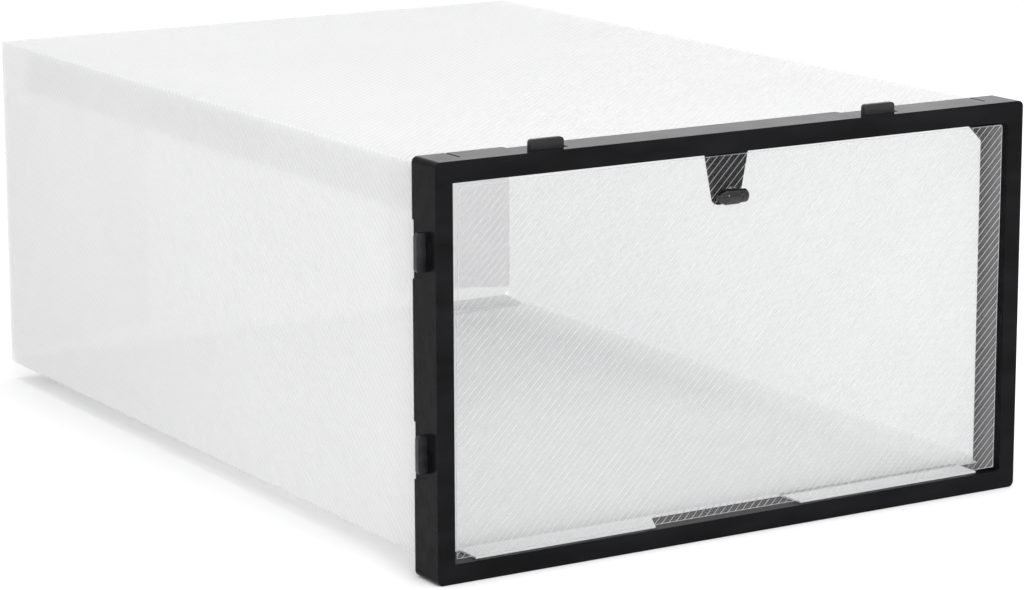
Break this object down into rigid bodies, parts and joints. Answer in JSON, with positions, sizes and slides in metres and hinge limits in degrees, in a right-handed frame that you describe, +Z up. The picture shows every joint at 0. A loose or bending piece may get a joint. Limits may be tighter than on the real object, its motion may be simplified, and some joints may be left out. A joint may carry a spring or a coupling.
{
  "type": "drop-front shoe box",
  "caption": "Stackable shoe box: folded ribbed plastic body, black moulded front frame, clear drop-down door with a turning pull, push-in stacking clips and a tuck-in back panel.",
  "frame": {"origin": "middle of the front frame's underside", "axes": "+X right seen from the front, +Y to the rear of the box, +Z up"},
  "size_m": [0.2333, 0.3388, 0.1383],
  "materials": {
    "frame_black": "black moulded plastic, satin with a fine grain, glossy where it catches the light",
    "body_sheet": "translucent white polypropylene sheet with fine diagonal ribs",
    "door_sheet": "clear polypropylene sheet with fine diagonal ribs",
    "pull_black": "black moulded plastic, smooth and glossy",
    "clip_black": "black moulded plastic, a little rougher than the frame"
  },
  "bodies": {
    "box": {"front_frame": "frame_black", "top_panel": "body_sheet", "bottom_panel": "body_sheet", "left_panel": "body_sheet", "right_panel": "body_sheet", "seam_flap": "body_sheet", "left_dust_flap": "body_sheet", "right_dust_flap": "body_sheet"},
    "back": {"back_panel": "body_sheet"},
    "tuck": {"tuck_flap": "body_sheet"},
    "door": {"door_panel": "door_sheet"},
    "pull": {"pull_bar": "pull_black", "pull_stud": "pull_black"},
    "top_left_clip": {"clip_top_left": "clip_black"},
    "top_right_clip": {"clip_top_right": "clip_black"},
    "upper_side_clip": {"clip_side_upper": "clip_black"},
    "lower_side_clip": {"clip_side_lower": "clip_black"}
  },
  "joints": [
    {"name": "door_hinge", "type": "hinge", "parent": "box", "child": "door", "pos_m": [0, -0.00545, 0.007], "axis": [1, 0, 0], "range_deg": [0, 90]},
    {"name": "pull_turn", "type": "hinge", "parent": "door", "child": "pull", "pos_m": [-0.0042, -0.00855, 0.114], "axis": [0, 1, 0], "range_deg": [-90, 90]},
    {"name": "back_hinge", "type": "hinge", "parent": "box", "child": "back", "pos_m": [0, 0.32745, 0.1325], "axis": [1, 0, 0], "range_deg": [0, 70]},
    {"name": "tuck_crease", "type": "hinge", "parent": "back", "child": "tuck", "pos_m": [0, 0.32745, 0.0076], "axis": [1, 0, 0], "range_deg": [-52.5, 0]},
    {"name": "top_left_clip_pull", "type": "slide", "parent": "box", "child": "top_left_clip", "axis": [0, 0, 1], "range_m": [0, 0.006]},
    {"name": "top_right_clip_pull", "type": "slide", "parent": "box", "child": "top_right_clip", "axis": [0, 0, 1], "range_m": [0, 0.006]},
    {"name": "upper_side_clip_pull", "type": "slide", "parent": "box", "child": "upper_side_clip", "axis": [-1, 0, 0], "range_m": [0, 0.006]},
    {"name": "lower_side_clip_pull", "type": "slide", "parent": "box", "child": "lower_side_clip", "axis": [-1, 0, 0], "range_m": [0, 0.006]}
  ],
  "couplings": [
    {"joint": "tuck_crease", "follows": "back_hinge", "ratio": -0.75}
  ]
}
